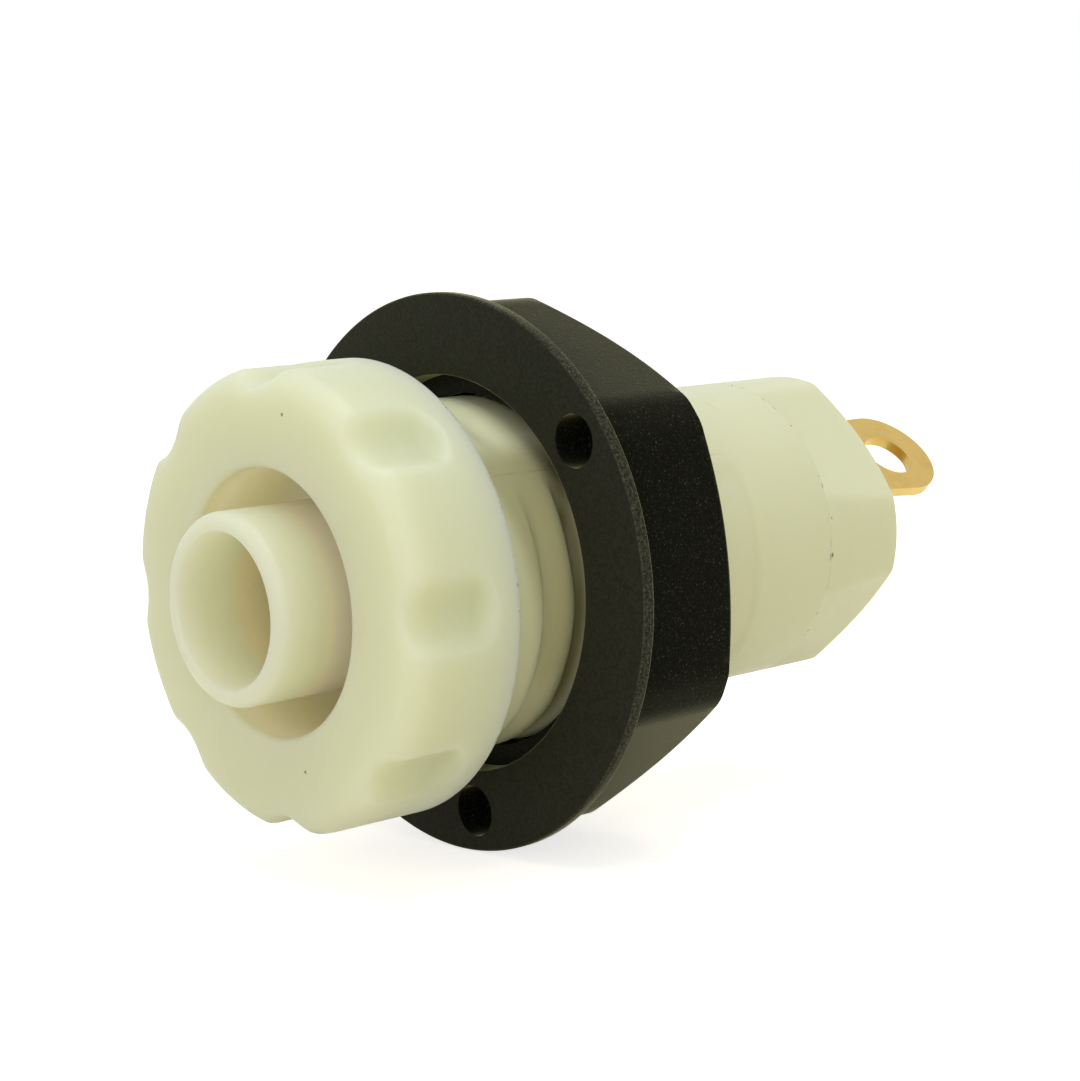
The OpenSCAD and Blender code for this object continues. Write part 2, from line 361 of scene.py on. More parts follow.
@dataclass(frozen=True)
class Chamfer:
    """A cone on the rear end of a piece: its length, its angle to the rear face and its rings."""

    drop: float
    angle: float
    steps: int

    def rings(self, radius: float, rear: float) -> Outline:
        """Returns the rings of the cone, from the side to the rear face.

        Args:
            radius: Outer radius of the piece.
            rear: Station of its rear end.

        Returns:
            Radius and station of each ring.
        """
        inset = self.drop / math.tan(math.radians(self.angle))
        return [(radius - inset * step / self.steps,
                 rear - self.drop + self.drop * step / self.steps)
                for step in range(self.steps + 1)]


def hand_over(piece: Object, body: Body, node: str, finish: Material,
              angle: float = 32.0) -> Object:
    """Shades a finished piece, gives it its finish and ties it to the frame.

    Args:
        piece: Finished piece.
        body: Body that it rides on.
        node: Node of the frame that it stands for.
        finish: Material of the piece.
        angle: Edges sharper than this, in degrees, stay sharp.

    Returns:
        The same piece.
    """
    activate(piece)
    bpy.ops.object.shade_smooth_by_angle(angle=math.radians(angle))
    piece.data.materials.clear()
    piece.data.materials.append(finish)
    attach(piece, body.value)
    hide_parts(node)
    LOG.info("%s: %d faces", piece.name, len(piece.data.polygons))
    return piece


# Finishes


@dataclass(frozen=True)
class Mask:
    """A product of ramps along the radius and along the stations."""

    radius: tuple[tuple[float, ...], ...]
    station: tuple[tuple[float, ...], ...]


def feed(node: Node, inputs: Inputs) -> Node:
    """Gives a node its inputs.

    Args:
        node: Node to feed.
        inputs: A value, or a socket to link, for each input by its name or number.

    Returns:
        The same node.
    """
    for key, value in inputs.items():
        if isinstance(value, Socket):
            node.id_data.links.new(value, node.inputs[key])
        else:
            node.inputs[key].default_value = value
    return node


def add_node(tree: NodeTree, kind: str, inputs: Inputs, **settings: object) -> Node:
    """Adds a node to a tree.

    Args:
        tree: Tree of a material or of the surround.
        kind: Type of the node.
        inputs: What the node is fed with.
        settings: Properties of the node.

    Returns:
        The node.
    """
    node = tree.nodes.new(kind)
    for name, value in settings.items():
        setattr(node, name, value)
    return feed(node, inputs)


class NodeSheet:
    """A material's node tree, with the few moves that the finishes share."""

    def __init__(self, name: str) -> None:
        """Starts a new material with its shader, and object coordinates in millimetres."""
        self.material = bpy.data.materials.new(name)
        self.material.use_nodes = True
        self.shader = self.material.node_tree.nodes["Principled BSDF"]
        coords = self.add("ShaderNodeTexCoord", {}, "Object")
        self.place = self.add("ShaderNodeMapping", {"Vector": coords, "Scale": (1 / MM,) * 3})
        self.station = self.add("ShaderNodeSeparateXYZ", {"Vector": self.place}, "Y")
        flat = self.add("ShaderNodeVectorMath", {0: self.place, 1: (1.0, 0.0, 1.0)},
                        operation="MULTIPLY")
        self.radius = self.add("ShaderNodeVectorMath", {0: flat}, "Value", operation="LENGTH")

    def add(self, kind: str, inputs: Inputs, output: str | int = 0,
            **settings: object) -> Socket:
        """Adds a node and returns one of its outputs."""
        return add_node(self.material.node_tree, kind, inputs, **settings).outputs[output]

    def set(self, **inputs: object) -> None:
        """Feeds the shader, with underscores for the spaces in the names of its inputs."""
        feed(self.shader, {name.replace("_", " "): value for name, value in inputs.items()})

    def noise(self, scale: float, detail: float = 3.0, rough: float = 0.5) -> Socket:
        """Returns a cloudy value with a number of lumps to the millimetre."""
        return self.add("ShaderNodeTexNoise", {"Vector": self.place, "Scale": scale,
                                               "Detail": detail, "Roughness": rough}, "Fac")

    def ramp(self, value: Socket, low: float, high: float,
             to_low: float = 0.0, to_high: float = 1.0) -> Socket:
        """Returns a value that goes softly between two levels."""
        return self.add("ShaderNodeMapRange", {
            "Value": value, "From Min": low, "From Max": high, "To Min": to_low,
            "To Max": to_high}, interpolation_type="SMOOTHSTEP")

    def calc(self, operation: str, *values: Socket | float) -> Socket:
        """Returns what a math operation makes of values and sockets."""
        return self.add("ShaderNodeMath", dict(enumerate(values)), operation=operation)

    def times(self, product: Socket, *others: Socket) -> Socket:
        """Returns the product of several values."""
        for other in others:
            product = self.calc("MULTIPLY", product, other)
        return product

    def mask(self, levels: Mask) -> Socket:
        """Returns a mask as a value."""
        return self.times(*(self.ramp(self.radius, *span) for span in levels.radius),
                          *(self.ramp(self.station, *span) for span in levels.station))

    def band(self, value: Socket, middle: float, half: float) -> Socket:
        """Returns 1 near a middle value, falling to 0 at half a width from it."""
        return self.times(self.ramp(value, middle - half, middle - half / 2),
                          self.ramp(value, middle + half, middle + half / 2))

    def blend(self, share: Socket, first: Socket | Triple, second: Triple) -> Socket:
        """Returns a colour between two, of which the first may be a socket."""
        first = first if isinstance(first, Socket) else (*first, 1.0)
        return self.add("ShaderNodeMix", {"Factor": share, 6: first, 7: (*second, 1.0)}, 2,
                        data_type="RGBA")

    def bump(self, height: Socket, depth: float, strength: float) -> Socket:
        """Returns the normal of a bump of a depth in millimetres."""
        return self.add("ShaderNodeBump", {"Height": height, "Distance": depth * MM,
                                           "Strength": strength})


@dataclass(frozen=True)
class NylonFinish:
    """Natural nylon: pale, yellowish and slightly translucent, handled and a little dirty, with
    painted shade on the head and neck and painted light in the recess.
    """

    name: str = "natural_nylon"
    colour: Triple = (0.775, 0.785, 0.515)
    # Painted shade: a darker colour for the head and everything in front of its rear face.
    painted_head_shade: Triple = (0.7, 0.73, 0.5)
    # Painted light: a brighter, warmer colour in the recess, for light that comes through the wall.
    painted_recess_glow: Triple = (0.99, 0.815, 0.51)
    # Painted shade: a dark brown colour for the neck in front of the nut and under it.
    painted_neck_shade: Triple = (0.33, 0.285, 0.09)
    line: Triple = (0.34, 0.22, 0.15)
    dirt: Triple = (0.09, 0.085, 0.055)
    specular: float = 0.35
    gloss_scale: float = 1.6
    gloss: Ramp = (0.3, 0.7, 0.36, 0.5)
    skin_cloud: Cloud = (5.0, 4.0, 0.6)
    skin: Pair = (0.02, 0.25)
    scatter: Triple = (1.0, 0.86, 0.66)
    thick_depth: float = 4.0
    thin_depth: float = 0.8
    thin_span: Pair = (-0.6, 0.6)
    recess: Mask = Mask(((4.7, 4.45),), ((15.0, 14.0), (-4.3, -3.2)))
    recess_depth: float = 14.0
    recess_wall: Pair = (2.8, 3.0)
    # Painted shade in the thread valleys, from in front of the nut to its rear.
    valley_shade: Mask = Mask(((5.85, 5.4, 0.0, 0.9), (4.6, 4.9)), ((2.4, 4.2), (9.0, 8.5)))
    # Painted shade on the neck in front of the nut, on its lower half.
    neck_shade_span: Mask = Mask(((4.9, 5.1), (6.05, 5.98)), ((5.2, 4.4),))
    neck_shade_lean: float = 0.28
    neck_shade_start: Ramp = (0.5, 1.6, 0.0, 0.58)
    neck_shade_top: Ramp = (1.6, 0.3, 0.1, 1.0)
    neck_shade_foot: Ramp = (-5.95, -5.3, 0.5, 1.0)
    parting: Mask = Mask(((4.9, 5.1),), ((0.6, 1.6), (13.0, 11.0)))
    parting_angle: float = 38.0
    parting_width: float = 0.06
    parting_scale: float = 1.3
    parting_break: Ramp = (0.4, 0.55, 0.05, 0.3)
    speck_scale: float = 0.42
    speck_turn: Triple = (0.6, 0.35, 0.85)
    speck_size: Ramp = (0.032, 0.02, 0.0, 0.75)
    speck_share: Pair = (0.5, 0.52)
    grime_cloud: Cloud = (2.2, 5.0, 0.7)
    rim: Pair = (7.45, 0.0)
    rim_width: Pair = (0.25, 0.14)
    rim_break: Ramp = (0.55, 0.66, 0.0, 0.7)
    seam: float = 16.8
    seam_width: float = 0.12
    seam_wall: Pair = (5.3, 5.4)
    seam_break: Ramp = (0.57, 0.62, 0.0, 0.9)
    seam_reach: float = 1.6
    seam_depth: float = 0.05

    def build(self) -> Material:
        """Returns the finish as a material."""
        sheet = NodeSheet(self.name)
        # The recess mask carries the painted light in the colour, and the deeper scattering.
        inside = sheet.mask(self.recess)
        across = self.across(sheet)
        # Painted shade on the neck: the stronger of the valley shade and the shade in front of the
        # nut.
        shaded_neck = sheet.calc("MAXIMUM", sheet.mask(self.valley_shade), self.neck_shade_mask(sheet, across))
        # The head is painted darker than the neck and barrel: painted shade.
        colour = sheet.blend(sheet.ramp(sheet.station, *self.thin_span), self.painted_head_shade, self.colour)
        for share, tint in ((inside, self.painted_recess_glow), (shaded_neck, self.painted_neck_shade),
                            (self.parting_line(sheet, across), self.line),
                            (self.specks(sheet), self.dirt), (self.grime(sheet), self.dirt)):
            colour = sheet.blend(share, colour, tint)
        sheet.set(Base_Color=colour, Specular_IOR_Level=self.specular,
                  Roughness=sheet.ramp(sheet.noise(self.gloss_scale), *self.gloss),
                  Subsurface_Weight=1.0, Subsurface_Radius=self.scatter,
                  Subsurface_Scale=self.depth(sheet, inside),
                  Normal=sheet.bump(sheet.noise(*self.skin_cloud), *self.skin))
        return sheet.material

    def depth(self, sheet: NodeSheet, inside: Socket) -> Socket:
        """Returns how deep light goes in, in metres: deepest in the recess, least at the seam."""
        outside = sheet.times(
            sheet.ramp(sheet.station, *self.thin_span, self.thick_depth * MM, self.thin_depth * MM),
            sheet.ramp(sheet.band(sheet.station, self.seam, self.seam_reach),
                       0.0, 1.0, 1.0, self.seam_depth))
        wall = sheet.times(inside, sheet.ramp(sheet.radius, *self.recess_wall))
        deep = sheet.ramp(wall, 0.0, 1.0, 0.0, self.recess_depth * MM)
        return sheet.calc("MAXIMUM", outside, deep)

    def across(self, sheet: NodeSheet) -> Socket:
        """Returns the height above the plane in which the halves of the mould met."""
        turn = math.radians(self.parting_angle)
        return sheet.add("ShaderNodeVectorMath", {
            0: sheet.place, 1: (-math.sin(turn), 0.0, math.cos(turn))}, "Value",
            operation="DOT_PRODUCT")

    def neck_shade_mask(self, sheet: NodeSheet, across: Socket) -> Socket:
        """Returns a mask of painted shade on the neck in front of the nut, on its lower half."""
        place = sheet.calc("MULTIPLY_ADD", across, self.neck_shade_lean, sheet.station)
        return sheet.times(sheet.ramp(place, *self.neck_shade_start), sheet.mask(self.neck_shade_span),
                           sheet.ramp(across, *self.neck_shade_top), sheet.ramp(across, *self.neck_shade_foot))

    def parting_line(self, sheet: NodeSheet, across: Socket) -> Socket:
        """Returns a mask of the thin line along the neck where the halves of the mould met."""
        return sheet.times(sheet.band(across, 0.0, self.parting_width), sheet.mask(self.parting),
                           sheet.ramp(sheet.noise(self.parting_scale), *self.parting_break))

    def specks(self, sheet: NodeSheet) -> Socket:
        """Returns a mask of sparse small specks, one in each of the chosen cells."""
        turned = sheet.add("ShaderNodeVectorRotate", {
            "Vector": sheet.place, "Rotation": self.speck_turn}, rotation_type="EULER_XYZ")
        away = sheet.add("ShaderNodeTexVoronoi", {"Vector": turned, "Scale": self.speck_scale},
                         "Distance")
        chance = sheet.add("ShaderNodeSeparateColor", {"Color": away.node.outputs["Color"]}, "Red")
        return sheet.times(sheet.ramp(away, *self.speck_size),
                           sheet.ramp(chance, *self.speck_share))

    def grime(self, sheet: NodeSheet) -> Socket:
        """Returns a mask of broken dirt along the rear rim of the head and the seam."""
        cloud = sheet.noise(*self.grime_cloud)
        rim = sheet.times(sheet.band(sheet.radius, self.rim[0], self.rim_width[0]),
                          sheet.band(sheet.station, self.rim[1], self.rim_width[1]),
                          sheet.ramp(cloud, *self.rim_break))
        seam = sheet.times(sheet.band(sheet.station, self.seam, self.seam_width),
                           sheet.ramp(sheet.radius, *self.seam_wall),
                           sheet.ramp(cloud, *self.seam_break))
        return sheet.calc("MAXIMUM", rim, seam)


@dataclass(frozen=True)
class BlackFinish:
    """Black moulding with a fine sparkling grain, rubbed pale along the rim of its flange, with
    painted light on its front face and inside its mouth and bore.
    """

    name: str = "black_moulding"
    colour: Triple = (0.002, 0.0021, 0.0016)
    grain: Triple = (0.008, 0.0085, 0.006)
    # Painted light: a paler colour on the front face and inside the mouth and bore, where light
    # falls and reflects.
    painted_face_light: Triple = (0.027, 0.028, 0.0205)
    sparkle: Triple = (0.075, 0.075, 0.062)
    rubbed: Triple = (0.085, 0.085, 0.06)
    sheen: Triple = (1.0, 0.98, 0.5)
    sheen_weight: float = 0.68
    sheen_roughness: float = 0.3
    specular: float = 0.02
    gloss: Ramp = (0.3, 0.7, 0.36, 0.52)
    grain_cloud: Cloud = (9.0, 4.0, 0.7)
    grain_share: Pair = (0.4, 0.7)
    skin: Pair = (0.03, 0.4)
    face_front: Pair = (3.46, 3.42)
    mouth_wall: Pair = (6.85, 6.75)
    face_light: Ramp = (0.3, 0.7, 0.6, 1.0)
    sparkle_cloud: Cloud = (13.0, 2.0, 0.7)
    sparkle_share: Pair = (0.58, 0.78)
    sparkle_start: Ramp = (3.42, 3.7, 0.1, 1.0)
    rim_wall: Pair = (9.4, 9.47)
    rim_cloud: Cloud = (13.0, 4.0, 0.75)
    rim_break: Ramp = (0.4, 0.68, 0.12, 1.0)

    def build(self) -> Material:
        """Returns the finish as a material."""
        sheet = NodeSheet(self.name)
        grain = sheet.noise(*self.grain_cloud)
        # Painted light on the front face and on the walls inside the mouth, broken up by the grain.
        front = sheet.calc("MAXIMUM", sheet.ramp(sheet.station, *self.face_front),
                           sheet.ramp(sheet.radius, *self.mouth_wall))
        face_light = sheet.times(front, sheet.ramp(grain, *self.face_light))
        points = sheet.times(sheet.ramp(sheet.noise(*self.sparkle_cloud), *self.sparkle_share),
                             sheet.ramp(sheet.station, *self.sparkle_start))
        rim = sheet.times(sheet.ramp(sheet.radius, *self.rim_wall),
                          sheet.ramp(sheet.noise(*self.rim_cloud), *self.rim_break))
        colour = sheet.blend(sheet.ramp(grain, *self.grain_share), self.colour, self.grain)
        for share, tint in ((face_light, self.painted_face_light), (points, self.sparkle), (rim, self.rubbed)):
            colour = sheet.blend(share, colour, tint)
        sheet.set(Base_Color=colour, Roughness=sheet.ramp(grain, *self.gloss),
                  Specular_IOR_Level=self.specular, Specular_Tint=(*self.sheen, 1.0),
                  Sheen_Weight=self.sheen_weight, Sheen_Roughness=self.sheen_roughness,
                  Sheen_Tint=(*self.sheen, 1.0), Normal=sheet.bump(grain, *self.skin))
        return sheet.material


@dataclass(frozen=True)
class GoldFinish:
    """Satin gold plate, with faint rolling marks and duller patches."""

    name: str = "satin_gold_plate"
    colour: Triple = (0.63, 0.44, 0.125)
    dull: Triple = (0.57, 0.395, 0.11)
    patch_cloud: Cloud = (0.9, 4.0, 0.6)
    patch_share: Pair = (0.4, 0.7)
    gloss: Ramp = (0.3, 0.7, 0.28, 0.42)
    skin_cloud: Cloud = (7.0, 3.0, 0.6)
    skin: Pair = (0.015, 0.3)

    def build(self) -> Material:
        """Returns the finish as a material."""
        sheet = NodeSheet(self.name)
        patch = sheet.noise(*self.patch_cloud)
        colour = sheet.blend(sheet.ramp(patch, *self.patch_share), self.colour, self.dull)
        sheet.set(Base_Color=colour, Roughness=sheet.ramp(patch, *self.gloss), Metallic=1.0,
                  Normal=sheet.bump(sheet.noise(*self.skin_cloud), *self.skin))
        return sheet.material


# Pieces


@dataclass
class MouldedBody:
    """Outer moulding: the grooved head, the threaded neck and the barrel, bored for the recess.

    Places on the thread are in turns from its first edge. The first turn has a depth, and the
    places where it starts, is deepest and ends, on the lower and on the upper half.
    """

    finish: Material
    segments: int = 288
    head_radius: float = 7.55
    head_length: float = 4.2
    head_rings: int = 34
    front_fillet: Fillet = (0.8, 14)
    rear_fillet: Fillet = (0.06, 3)
    groove_count: int = 8
    groove_radius: float = 1.6
    groove_depth: float = 0.55
    groove_rim: float = 0.7
    groove_end: float = 1.05
    groove_blend: float = 0.24
    groove_follow: float = 0.4
    neck_radius: float = 5.95
    neck_length: float = 14.0
    neck_rings: int = 160
    barrel_radius: float = 5.45
    barrel_end: float = 16.8
    barrel_edge: Fillet = (0.05, 3)
    barrel_rings: int = 12
    recess_radius: float = 4.35
    recess_edge: Fillet = (0.25, 5)
    recess_rings: int = 8
    foot_radius: float = 4.5
    foot_station: float = 13.0
    thread_pitch: float = 1.38
    thread_root: float = 5.22
    thread_edge: float = 3.7
    thread_limit: float = 15.0
    front_flank: Pair = (0.0, 0.2)
    rear_flank: Pair = (0.34, 0.92)
    first_depth: Pair = (0.15, 0.3)
    first_turns: tuple[Triple, Triple] = ((-1.0, -0.88, -0.15), (-1.3, -0.75, -0.2))
    upper_start: float = 1.0
    thread_turns: float = 5.4
    thread_fade: float = 0.15
    run_out_root: float = 5.37
    run_out_turns: float = 0.5
    run_out_lower: float = 13.05
    run_out_upper: float = 12.14
    run_out_soft: Pair = (0.2, 0.15)
    parting_angle: float = 38.0
    parting_radius: float = 5.66
    parting_start: Pair = (3.6, 5.0)
    parting_end: Pair = (10.4, 12.2)
    parting_land: float = 1.0
    parting_fade: Pair = (10.0, 14.0)
    parting_turns: Pair = (0.3, 1.0)

    def build(self) -> Object:
        """Turns the body, rounds its rims, and presses the grooves and the thread into it."""
        front = -self.head_length
        piece = revolve("moulded_body", [
            (self.recess_radius, front), (self.head_radius, front), (self.head_radius, 0.0),
            (self.neck_radius, 0.0), (self.neck_radius, self.neck_length),
            (self.barrel_radius, self.neck_length), (self.barrel_radius, self.barrel_end),
            (self.foot_radius, self.barrel_end), (self.foot_radius, self.foot_station),
            (self.recess_radius, self.foot_station),
        ], self.segments)
        round_rim(piece, (self.recess_radius, front), self.recess_edge)
        round_rim(piece, (self.head_radius, front), self.front_fillet)
        round_rim(piece, (self.head_radius, 0.0), self.rear_fillet)
        round_rim(piece, (self.barrel_radius, self.barrel_end), self.barrel_edge)
        for radius, span, rings in (
                (self.head_radius, (front, 0.0), self.head_rings),
                (self.neck_radius, (0.0, self.neck_length), self.neck_rings),
                (self.barrel_radius, (self.neck_length, self.barrel_end), self.barrel_rings),
                (self.recess_radius, (front, self.foot_station), self.recess_rings)):
            split_lengthwise(piece, radius, span, rings)
        self.press_grooves(piece)
        self.cut_thread(piece)
        return piece

    def press_grooves(self, piece: Object) -> None:
        """Presses the round-bottomed finger grooves into the side of the head, with soft edges."""
        points = read_points(piece)
        radius = radii(points)
        side = (points[:, 1] < -NEAR) & (radius > self.head_radius - self.front_fillet[0] - NEAR)
        axis = self.head_radius - self.groove_depth + self.groove_radius
        end = -(self.groove_rim + self.groove_end)
        pitch = 2 * math.pi / self.groove_count
        angle = bearings(points)
        away = angle - np.round(angle / pitch) * pitch
        behind = np.maximum(points[:, 1] - end, 0.0) * self.groove_radius / self.groove_end
        reach = self.groove_radius ** 2 - behind ** 2 - (axis * np.sin(away)) ** 2
        floor = axis * np.cos(away) - np.sqrt(np.maximum(reach, 0.0))
        floor = np.where(reach > 0.0, floor, self.head_radius + self.groove_radius)
        straight = soft_min(radius, floor, self.groove_blend)
        side_radius = np.full(len(points), self.head_radius)
        follow = radius - self.head_radius + soft_min(side_radius, floor, self.groove_blend)
        pressed = straight + (follow - straight) * self.groove_follow
        push(piece, side, pressed)

    def cut_thread(self, piece: Object) -> None:
        """Cuts the right-hand thread into the neck, faded out along the mould's parting lines."""
        points = read_points(piece)
        radius = radii(points)
        station = points[:, 1]
        near = 2 * NEAR
        neck = (radius > self.barrel_radius - near) & (radius < self.neck_radius + near)
        neck &= (station > near) & (station < self.thread_limit)
        angle = np.degrees(bearings(points))
        angle = np.where(angle < self.parting_angle - 180.0, angle + 360.0, angle)
        lower = angle < self.parting_angle
        away = np.abs(np.mod(angle - self.parting_angle + 90.0, 180.0) - 90.0)
        turns = (station - self.thread_edge) / self.thread_pitch + angle / 360.0
        phase = np.mod(turns, 1.0)
        ridge = 1.0 - smooth_step(phase, *self.front_flank) + smooth_step(phase, *self.rear_flank)
        ridge *= 1.0 - smooth_step(turns, self.thread_turns, self.thread_turns + self.thread_fade)
        root = self.thread_root + (self.run_out_root - self.thread_root) * smooth_step(
            turns, self.thread_turns - self.run_out_turns, self.thread_turns)
        cut = root + (self.neck_radius - root) * ridge
        dips = [depth * plateau(turns, (start, low), (low, stop))
                for depth, (start, low, stop) in zip(self.first_depth, self.first_turns)]
        first = self.neck_radius - np.where(lower, *dips)
        cut = np.where(turns < np.where(lower, 0.0, self.upper_start), first, cut)
        end = np.where(lower, self.run_out_lower, self.run_out_upper)
        end = end - self.thread_pitch * angle / 360.0
        before, after = self.run_out_soft
        cut += (self.barrel_radius - cut) * smooth_step(station, end - before, end + after)
        middle = self.neck_radius + (self.parting_radius - self.neck_radius) * smooth_step(
            station, *self.parting_start)
        middle += (self.barrel_radius - middle) * smooth_step(station, *self.parting_end)
        narrow, wider = self.parting_fade
        fade = narrow + wider * (1.0 - smooth_step(turns, *self.parting_turns))
        cut = middle + (cut - middle) * smooth_step(away, self.parting_land, fade)
        push(piece, neck, cut)

    def dress(self) -> Object:
        """Builds the body and hands it over."""
        return hand_over(self.build(), Body.SOCKET, "outer_body", self.finish)


@dataclass
class GuideSleeve:
    """Insulating sleeve in the recess, with its funnel, guide hole and foot."""

    finish: Material
    segments: int = 192
    radius: float = 3.125
    tip: float = -5.9
    tip_round: Fillet = (0.42, 10)
    mouth_round: Fillet = (0.14, 5)
    funnel_radius: float = 2.55
    funnel_end: float = -4.0
    guide_radius: float = 2.1
    guide_round: Fillet = (0.3, 4)
    contact_radius: float = 2.62
    contact_station: float = -1.0
    foot_radius: float = 4.48
    foot_span: Pair = (13.0, 14.9)

    def build(self) -> Object:
        """Turns the sleeve and rounds its tip."""
        front, rear = self.foot_span
        piece = revolve("guide_sleeve", [
            (self.contact_radius, rear), (self.contact_radius, self.contact_station),
            (self.guide_radius, self.contact_station), (self.guide_radius, self.funnel_end),
            (self.funnel_radius, self.tip), (self.radius, self.tip), (self.radius, front),
            (self.foot_radius, front), (self.foot_radius, rear),
        ], self.segments)
        round_rim(piece, (self.radius, self.tip), self.tip_round)
        round_rim(piece, (self.funnel_radius, self.tip), self.mouth_round)
        round_rim(piece, (self.guide_radius, self.funnel_end), self.guide_round)
        return piece

    def dress(self) -> Object:
        """Builds the sleeve and hands it over."""
        return hand_over(self.build(), Body.SOCKET, "inner_sleeve", self.finish)


@dataclass
class ContactTube:
    """Plated contact with its collar, and its tail riveted over the lug."""

    finish: Material
    segments: int = 128
    bore_radius: float = 2.0
    bore_floor: float = 14.2
    radius: float = 2.6
    front: float = -1.0
    chamfer: float = 0.3
    collar_radius: float = 3.5
    collar_span: Pair = (14.9, 15.7)
    tail_radius: float = 1.2
    rivet_radius: float = 1.7
    rivet_span: Pair = (21.3, 21.9)
    dome_steps: int = 10

    def build(self) -> Object:
        """Turns the contact, with a flat dome on its tail."""
        collar_front, collar_rear = self.collar_span
        seat, crown = self.rivet_span
        height = crown - seat
        dome = (self.rivet_radius ** 2 + height ** 2) / (2 * height)
        outline = [
            (self.bore_radius, self.bore_floor), (self.bore_radius, self.front + self.chamfer),
            (self.bore_radius + self.chamfer, self.front), (self.radius, self.front),
            (self.radius, collar_front), (self.collar_radius, collar_front),
            (self.collar_radius, collar_rear), (self.tail_radius, collar_rear),
            (self.tail_radius, seat), (self.rivet_radius, seat),
        ]
        for step in range(1, self.dome_steps):
            radius = self.rivet_radius * (1.0 - step / self.dome_steps)
            outline.append((radius, crown - dome + math.sqrt(dome ** 2 - radius ** 2)))
        return revolve("contact_tube", outline, self.segments, closed=False)

    def dress(self) -> Object:
        """Builds the contact and hands it over."""
        return hand_over(self.build(), Body.SOCKET, "contact_socket", self.finish)


@dataclass
class RearCap:
    """End cap with four drafted flats and a spigot in the barrel."""

    finish: Material
    segments: int = 192
    radius: float = 5.45
    front: float = 16.8
    rear: float = 20.9
    side_rings: int = 10
    chamfer: Chamfer = Chamfer(0.5, 30.0, 10)
    front_flats: float = 9.8
    rear_flats: float = 9.4
    flat_count: int = 4
    flat_reach: float = 4.18
    turn: float = 42.0
    spigot_radius: float = 4.48
    spigot_front: float = 15.7
    bore_radius: float = 1.22
    edge: Fillet = (0.05, 3)
    corner_blend: float = 0.1

    def build(self) -> Object:
        """Turns the cap with a cone on its end, and presses its flats."""
        cone = self.chamfer.rings(self.radius, self.rear)
        piece = revolve("rear_cap", [
            (self.bore_radius, self.spigot_front), (self.spigot_radius, self.spigot_front),
            (self.spigot_radius, self.front), (self.radius, self.front), *cone,
            (self.bore_radius, self.rear),
        ], self.segments)
        for rim in ((self.radius, self.front), cone[0], cone[-1]):
            round_rim(piece, rim, self.edge)
        split_lengthwise(piece, self.radius, (self.front, cone[0][1]), self.side_rings)
        points = read_points(piece)
        along = np.clip((points[:, 1] - self.front) / (self.rear - self.front), 0.0, 1.0)
        flats = self.front_flats / 2 + (self.rear_flats - self.front_flats) / 2 * along
        held = (points[:, 1] > self.front - NEAR) & (radii(points) > self.flat_reach)
        press_flats(piece, held, self.flat_count, self.turn, flats, self.corner_blend)
        return piece

    def dress(self) -> Object:
        """Builds the cap and hands it over."""
        return hand_over(self.build(), Body.SOCKET, "end_cap", self.finish)


